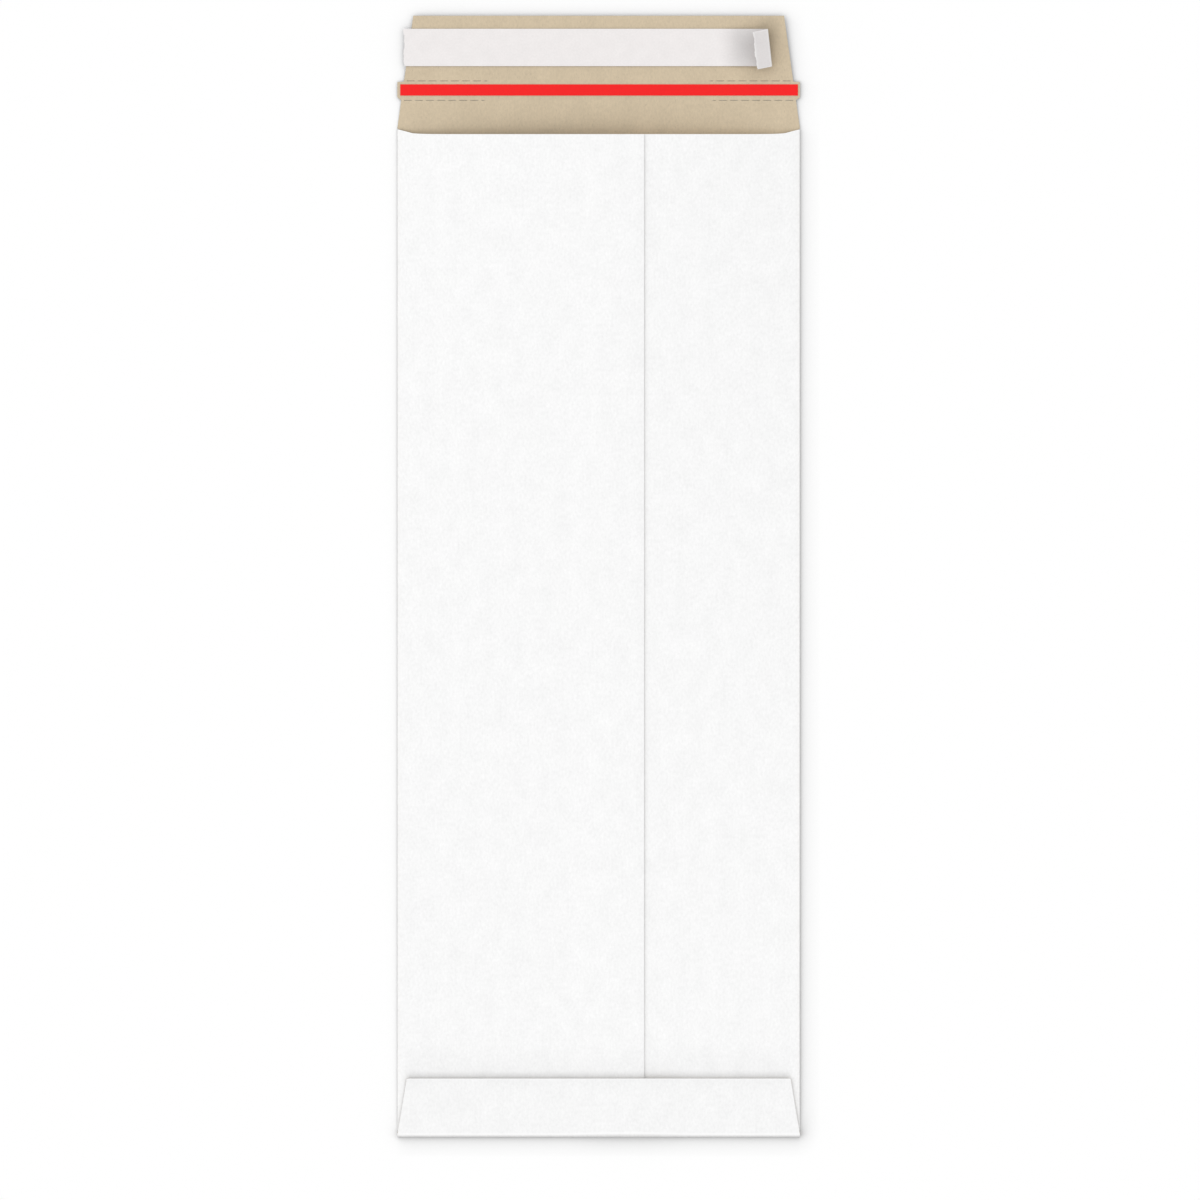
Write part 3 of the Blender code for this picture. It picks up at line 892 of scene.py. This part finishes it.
    def wide_z(self, x, y):
        """The wide panel, with its free edge pressed down past the glue."""
        pressed = smooth((x - SEAM_X + SEAM_PRESS_RUN) / SEAM_PRESS_RUN)
        return self.over_seam_z(x, y) - SEAM_PRESS * pressed

    def bottom_flap_z(self, x, y):
        if x < SEAM_X:
            below = self.over_seam_z(x, y)
        else:
            settle = (x - SEAM_X - self.board) / SEAM_RAMP
            below = self.narrow_z(x, y) + self.layer * (1 - smooth(settle))
        past_glue = (y - BOTTOM_FLAP_EDGE_Y) / BOTTOM_FREE_STRIP + 1
        return below + self.layer + BOTTOM_EDGE_LIFT * max(past_glue, 0.0) ** 2

    def throat_y(self, x):
        inward = self.fold_x - abs(x)
        if inward <= 0:
            return THROAT_CORNER_Y
        chamfer = THROAT_CHAMFER_DROP * min(inward / THROAT_CHAMFER_RUN, 1.0)
        past = max(inward - THROAT_CHAMFER_RUN, 0.0)
        rest = THROAT_DROP - SCORE_HALF_WIDTH - THROAT_CHAMFER_DROP
        return THROAT_CORNER_Y - chamfer - rest * (1 - math.exp(-past / THROAT_BLEND))

    def bottom_fold(self, x):
        """Radius and centre of the bottom fold, where it wraps the stack of panels at x."""
        radius = (self.bottom_flap_z(x, BOTTOM_Y) - self.board / 2) / 2
        return radius, BOTTOM_Y + self.board / 2 + radius

    # Folding

    def folded(self, flat):
        """A flat point's place in the folded envelope."""
        u, y = flat.x, flat.y
        if y > THROAT_CORNER_Y + SCORE_HALF_WIDTH / 2:
            ridge = SCORE_HEIGHT if abs(y - CREASE_Y) < SCORE_HALF_WIDTH / 2 else 0.0
            return self.flap_place @ Vector((u, y - CREASE_Y, ridge))
        if y < FLAT_FOLD_END:
            return self.on_bottom_flap(u, (FLAT_FOLD_END - y) / FLAT_BOTTOM_FLAP)
        if y < FLAT_FOLD_START + CUT_RELIEF / 4:
            return self.on_bottom_fold(u, (FLAT_FOLD_START - y) / (FLAT_FOLD_START - FLAT_FOLD_END))
        if y < PANEL_BOTTOM_Y - CUT_RELIEF / 4 or abs(u) <= self.fold_x:
            return Vector((u, y, self.board / 2))
        return self.on_wing(u, y)

    def on_bottom_fold(self, x, s):
        radius, centre_y = self.bottom_fold(x)
        angle = math.pi * (1.5 - s)
        y = centre_y + radius * math.cos(angle)
        return Vector((x, y, self.board / 2 + radius * (1 + math.sin(angle))))

    def on_bottom_flap(self, x, s):
        half = BODY_WIDTH / 2 - BOTTOM_FLAP_INSET * s
        at_edge = abs(x) / half * (BODY_WIDTH / 2 - BOTTOM_FLAP_INSET)
        corner = at_edge - (BODY_WIDTH / 2 - BOTTOM_FLAP_INSET - BOTTOM_FLAP_CORNER)
        corner = min(max(corner, 0.0), BOTTOM_FLAP_CORNER)
        rounding = BOTTOM_FLAP_CORNER - math.sqrt(BOTTOM_FLAP_CORNER**2 - corner**2)
        fold_y = self.bottom_fold(x)[1]
        y = fold_y + s * (BOTTOM_FLAP_EDGE_Y - rounding - fold_y)
        return Vector((x, y, self.bottom_flap_z(x, y)))

    def on_wing(self, u, y):
        side = math.copysign(1, u)
        past = abs(u) - self.fold_x
        if past <= self.arc:
            turn = (math.pi - self.fold_opening(y)) * past / self.arc
            radius = self.radius * crushed(past / self.arc)
            x = self.fold_x + radius * math.sin(turn)
            return Vector((side * x, y, self.fold_z - radius * math.cos(turn)))
        edge_x, height = (SEAM_X, self.wide_z) if side < 0 else (HIDDEN_EDGE_X, self.narrow_z)
        start_x = side * self.half_span(y)
        flat_width = abs(edge_x - side * self.fold_x)
        x = start_x + (edge_x - start_x) * (past - self.arc) / flat_width
        along = (y - PANEL_BOTTOM_Y) / (THROAT_CORNER_Y - PANEL_BOTTOM_Y)
        y = PANEL_BOTTOM_Y + along * (self.throat_y(x) - PANEL_BOTTOM_Y)
        return Vector((x, y, height(x, y)))


def crushed(along):
    """How far a fold's corners stand out from a round bend, at a fraction along it."""
    turn = math.pi * along
    power = FOLD_SQUARENESS
    return (abs(math.sin(turn)) ** power + abs(math.cos(turn)) ** power) ** (-1 / power)


def slit_spans(v):
    """Outer and inner end of each slit of the right half of a row at v from the crease."""
    start = row_ends(v)[0]
    lengths = [SLIT_LENGTH] * SLITS_IN_ROW + [SHORT_SLIT_LENGTH]
    return [(start - k * SLIT_PITCH, start - k * SLIT_PITCH - n) for k, n in enumerate(lengths)]


def cut_slits(bm, sheet, v):
    """Cuts one row of perforation into the flat sheet."""
    centre = CREASE_Y + v
    near = sheet.slit / 4
    band = [f for f in bm.faces if abs(f.calc_center_median().y - centre) < near]
    spans = slit_spans(v)
    geometry = set(band)
    for face in band:
        geometry.update(face.edges)
        geometry.update(face.verts)
    geometry = list(geometry)
    for end in [x for span in spans for x in span]:
        for side in (-1, 1):
            cut = bmesh.ops.bisect_plane(
                bm, geom=geometry, dist=1e-7, plane_co=(side * end, 0, 0), plane_no=(1, 0, 0)
            )
            geometry = cut["geom"]
    slits = []
    for part in geometry:
        if isinstance(part, bmesh.types.BMFace):
            x = abs(part.calc_center_median().x)
            if any(inner < x < outer for outer, inner in spans):
                slits.append(part)
    bmesh.ops.delete(bm, geom=slits, context="FACES")


def die_cut_blank(sheet):
    """The flat sheet: a grid without its waste, with the outline and the perforation cut."""
    bm, places = index_grid(len(sheet.rows), len(sheet.columns))
    waste = []
    for face in bm.faces:
        row = min(places[vert][0] for vert in face.verts)
        column = min(places[vert][1] for vert in face.verts)
        if sheet.is_waste(row, column):
            waste.append(face)
    for vert, (row, column) in places.items():
        vert.co = sheet.flat_place(row, column)
    bmesh.ops.delete(bm, geom=waste, context="FACES")
    for v in (TEAR_STRIP_START, TEAR_STRIP_END):
        cut_slits(bm, sheet, v)
    bmesh.ops.remove_doubles(bm, verts=bm.verts, dist=1e-6)
    return bm


class ENVELOPE_OT_board(bpy.types.Operator):
    """Cuts the sheet flat, folds it into the envelope and gives it its three board materials"""

    bl_idname = "envelope.board"
    bl_label = "Folded board"

    def execute(self, context):
        board = context.scene.envelope_board
        sheet = FoldedSheet(board)
        bm = die_cut_blank(sheet)
        keep_flat_places(bm, SHEET_UV)
        for vert in bm.verts:
            vert.co = sheet.folded(vert.co)
        materials = (kraft_face(board), white_face(board), cut_face(board))
        piece = finished_object("envelope_board", bm, materials)
        thicken(piece, board.thickness, other_side=1, edge=2)
        round_edges(piece, board.edge_rounding, 2, material=1)
        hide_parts("board_blank")
        return {"FINISHED"}


class ENVELOPE_OT_tear_tape(bpy.types.Operator):
    """Lays the red tear tape between the two rows of perforation"""

    bl_idname = "envelope.tear_tape"
    bl_label = "Tear tape"

    def execute(self, context):
        tape = context.scene.envelope_tape
        sheet = FoldedSheet(context.scene.envelope_board)
        reach = BODY_WIDTH / 2 - TAPE_EDGE_MARGIN
        centre = TEAR_STRIP_START + TEAR_STRIP_WIDTH / 2 + TAPE_SHIFT
        rest = sheet.board / 2 + BOND_GAP + tape.thickness / 2
        rows, columns = TAPE_GRID
        bm, places = index_grid(rows, columns)
        for vert, (row, column) in places.items():
            x = reach * (2 * column / (columns - 1) - 1)
            b = row / (rows - 1) - 0.5
            ripple = TAPE_RIPPLE * math.sin(x * 410) * math.sin(x * 173 + 9 * b)
            place = Vector((x + TAPE_SIDE_SHIFT, centre + tape.width * b, rest + ripple))
            vert.co = sheet.flap_place @ place
        piece = finished_object("tear_tape_film", bm, (tape_film(tape),))
        thicken(piece, tape.thickness)
        round_edges(piece, tape.thickness * 0.3, 2)
        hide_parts("tear_tape")
        return {"FINISHED"}


# Release liner


def torn(b, phase):
    """How far a torn end departs from a straight line, at b across the liner in widths."""
    broad = math.sin(9 * b + phase) + 0.6 * math.sin(23 * b + 2 * phase)
    fine = 0.35 * math.sin(61 * b + 5 * phase) + 0.2 * math.sin(139 * b + phase)
    return TORN_DEPTH * (broad + fine) / 1.6


def liner_rise(d, opening):
    """Place across the fold line and height, at d along the liner from where its fold begins."""
    turn = math.pi - opening
    if d <= 0:
        return d, LINER_PEEL_HEIGHT * max(1 + d / LINER_PEEL_RUN, 0.0) ** 2
    bend = min(d / LINER_FOLD_RADIUS, turn)
    across = LINER_FOLD_RADIUS * math.sin(bend)
    height = LINER_PEEL_HEIGHT + LINER_FOLD_RADIUS * (1 - math.cos(bend))
    past = max(d - LINER_FOLD_RADIUS * turn, 0.0)
    return across - past * math.cos(opening), height + past * math.sin(opening)


def liner_lengths(start, tab_length, opening):
    """Distances from the fold along the liner, from its torn start to its folded end."""
    turn_length = LINER_FOLD_RADIUS * (math.pi - opening)
    lengths = [start + k * (-LINER_PEEL_RUN - start) for k in fractions(LINER_FLAT_STEPS)]
    lengths += [(k - 1) * LINER_PEEL_RUN for k in fractions(LINER_PEEL_STEPS)[1:]]
    lengths += [turn_length * k for k in fractions(LINER_TURN_STEPS)[1:]]
    return lengths + [turn_length + tab_length * k for k in fractions(LINER_TAB_STEPS)[1:]]


class ENVELOPE_OT_release_liner(bpy.types.Operator):
    """Lays the release liner over the adhesive, with torn ends and one end folded back"""

    bl_idname = "envelope.release_liner"
    bl_label = "Release liner"

    def execute(self, context):
        liner = context.scene.envelope_liner
        sheet = FoldedSheet(context.scene.envelope_board)
        start_x = LINER_START_MARGIN - BODY_WIDTH / 2
        normal = Vector((math.cos(LINER_FOLD_ANGLE), math.sin(LINER_FOLD_ANGLE), 0))
        rest = sheet.board / 2 + ADHESIVE_THICKNESS + 2 * BOND_GAP + liner.thickness / 2
        rows, columns = LINER_ROWS, len(liner_lengths(0.0, 0.0, 0.0))
        bm, places = index_grid(rows, columns)
        flat_points, folded_points = {}, {}
        for vert, (row, column) in places.items():
            b = row / (rows - 1) - 0.5
            line_x = LINER_FOLD_X - b * liner.width * math.tan(LINER_FOLD_ANGLE)
            start = (start_x + torn(b, 0.4) - line_x) * normal.x
            tab = liner.tab_length + torn(b, 2.0)
            d = liner_lengths(start, tab, liner.tab_opening)[column]
            across, height = liner_rise(d, liner.tab_opening)
            flat_point = Vector((line_x + d / normal.x, b * liner.width, 0))
            on_line = Vector((line_x, b * liner.width, 0))
            slide = flat_point - d * normal - on_line
            foot = on_line + slide * (1.0 if d < 0 else TAB_SLIDE)
            lifted = foot + across * normal + Vector((0, LINER_CENTRE, rest + height))
            flat_points[vert] = flat_point
            folded_points[vert] = sheet.flap_place @ lifted
        for vert, point in flat_points.items():
            vert.co = point
        keep_flat_places(bm, LINER_UV)
        for vert, point in folded_points.items():
            vert.co = point
        piece = finished_object("release_liner_paper", bm, (release_paper(liner),))
        thicken(piece, liner.thickness)
        round_edges(piece, liner.thickness * 0.3, 1)
        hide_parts("release_liner")
        return {"FINISHED"}


class ENVELOPE_OT_glues(bpy.types.Operator):
    """Gives the adhesive and the glue between the layers their materials"""

    bl_idname = "envelope.glues"
    bl_label = "Adhesive and glue"

    def execute(self, context):
        glues = context.scene.envelope_glues
        adhesive = set_glue("closing_adhesive", glues.adhesive, roughness=0.2, scale=260)
        dried = set_glue("dried_glue", glues.glue, roughness=0.5, scale=420)
        finishes = {"adhesive_strip": adhesive, "seam_glue": dried, "bottom_glue": dried}
        for node, material in finishes.items():
            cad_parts[node].material_slots[0].material = material
        return {"FINISHED"}


class ENVELOPE_OT_stage(bpy.types.Operator):
    """Sets the white floor, the soft light and the camera that looks straight down"""

    bl_idname = "envelope.stage"
    bl_label = "Floor, light and camera"

    def execute(self, context):
        stage = context.scene.envelope_stage
        scene = context.scene
        self.make_floor(stage)
        self.make_world(scene, stage)
        self.make_key(scene, stage)
        camera = bpy.data.objects.new("camera", bpy.data.cameras.new("camera"))
        camera.data.type = "ORTHO"
        camera.data.ortho_scale = stage.frame_width
        camera.location = CAMERA_PLACE
        scene.collection.objects.link(camera)
        scene.camera = camera
        scene.view_settings.view_transform = "Standard"
        return {"FINISHED"}

    def make_floor(self, stage):
        material, graph = new_material("white_floor")
        path = graph.node("ShaderNodeLightPath")
        grey = (stage.floor_grey,) * 3
        # Painted shade and a painted drop shadow on the floor, seen by the camera only
        flat = math.sin(PAINTED_SHADOW_LEAN)
        left, up = math.sin(PAINTED_SHADOW_BEARING), math.cos(PAINTED_SHADOW_BEARING)
        painted_shadow = gathered_shade(graph, *FLOOR_PAINTED_SHADOW, (-flat * left, flat * up, math.cos(PAINTED_SHADOW_LEAN)))
        level = path * (1 - gathered_shade(graph, *FLOOR_SHADE)) * (1 - painted_shadow)
        seen = path.colour_mix(level, grey, (1.0, 1.0, 1.0))
        surface = graph.node("ShaderNodeBsdfDiffuse", {}, {"Color": seen})
        graph.node("ShaderNodeOutputMaterial", {}, {"Surface": surface})
        bm = bmesh.new()
        bmesh.ops.create_grid(bm, x_segments=1, y_segments=1, size=FLOOR_SIZE)
        bmesh.ops.translate(bm, vec=(0, 0, FLOOR_LEVEL), verts=bm.verts)
        mesh = bpy.data.meshes.new("floor")
        bm.to_mesh(mesh)
        bm.free()
        mesh.materials.append(material)
        floor = bpy.data.objects.new("floor", mesh)
        bpy.context.scene.collection.objects.link(floor)

    def make_world(self, scene, stage):
        world = bpy.data.worlds.new("soft_dome")
        world.use_nodes = True
        world.node_tree.nodes.clear()
        graph = Graph(world.node_tree)
        path = graph.node("ShaderNodeLightPath")
        outputs = path.socket.node.outputs
        seen = path
        for name in ("Is Glossy Ray", "Is Transmission Ray"):
            seen = seen.maths("MAXIMUM", seen, Graph(graph.tree, outputs[name]))
        strength = stage.dome_light + (1 - stage.dome_light) * seen
        sky = {"Color": (1, 1, 1, 1), "Strength": strength}
        background = graph.node("ShaderNodeBackground", {}, sky)
        graph.node("ShaderNodeOutputWorld", {}, {"Surface": background})
        scene.world = world

    def make_key(self, scene, stage):
        lamp = bpy.data.lights.new("key", "SUN")
        lamp.angle = stage.key_size
        lamp.energy = stage.key_light * math.pi / math.sin(stage.key_height)
        flat = math.cos(stage.key_height)
        left, up = math.sin(stage.key_bearing), math.cos(stage.key_bearing)
        towards = Vector((-flat * left, flat * up, math.sin(stage.key_height)))
        key = bpy.data.objects.new("key", lamp)
        key.rotation_euler = towards.to_track_quat("Z", "Y").to_euler()
        scene.collection.objects.link(key)


class ENVELOPE_PT_sidebar(bpy.types.Panel):
    bl_label = "Board envelope"
    bl_space_type = "VIEW_3D"
    bl_region_type = "UI"
    bl_category = "Envelope"

    def draw(self, context):
        for operator, name in STEPS:
            self.layout.operator(operator.bl_idname)
            settings = getattr(context.scene, name)
            for key in settings.__annotations__:
                self.layout.prop(settings, key)


SETTINGS = {
    "envelope_board": BoardSettings,
    "envelope_tape": TapeSettings,
    "envelope_liner": LinerSettings,
    "envelope_glues": GlueSettings,
    "envelope_stage": StageSettings,
}
STEPS = (
    (ENVELOPE_OT_board, "envelope_board"),
    (ENVELOPE_OT_tear_tape, "envelope_tape"),
    (ENVELOPE_OT_release_liner, "envelope_liner"),
    (ENVELOPE_OT_glues, "envelope_glues"),
    (ENVELOPE_OT_stage, "envelope_stage"),
)


def register():
    for name, group in SETTINGS.items():
        bpy.utils.register_class(group)
        setattr(bpy.types.Scene, name, PointerProperty(type=group))
    for operator, _ in STEPS:
        bpy.utils.register_class(operator)
    bpy.utils.register_class(ENVELOPE_PT_sidebar)


def unregister():
    bpy.utils.unregister_class(ENVELOPE_PT_sidebar)
    for operator, _ in STEPS:
        bpy.utils.unregister_class(operator)
    for name, group in SETTINGS.items():
        delattr(bpy.types.Scene, name)
        bpy.utils.unregister_class(group)


def main():
    register()
    bpy.ops.envelope.board()
    bpy.ops.envelope.tear_tape()
    bpy.ops.envelope.release_liner()
    bpy.ops.envelope.glues()
    bpy.ops.envelope.stage()


if __name__ == "__main__":
    main()
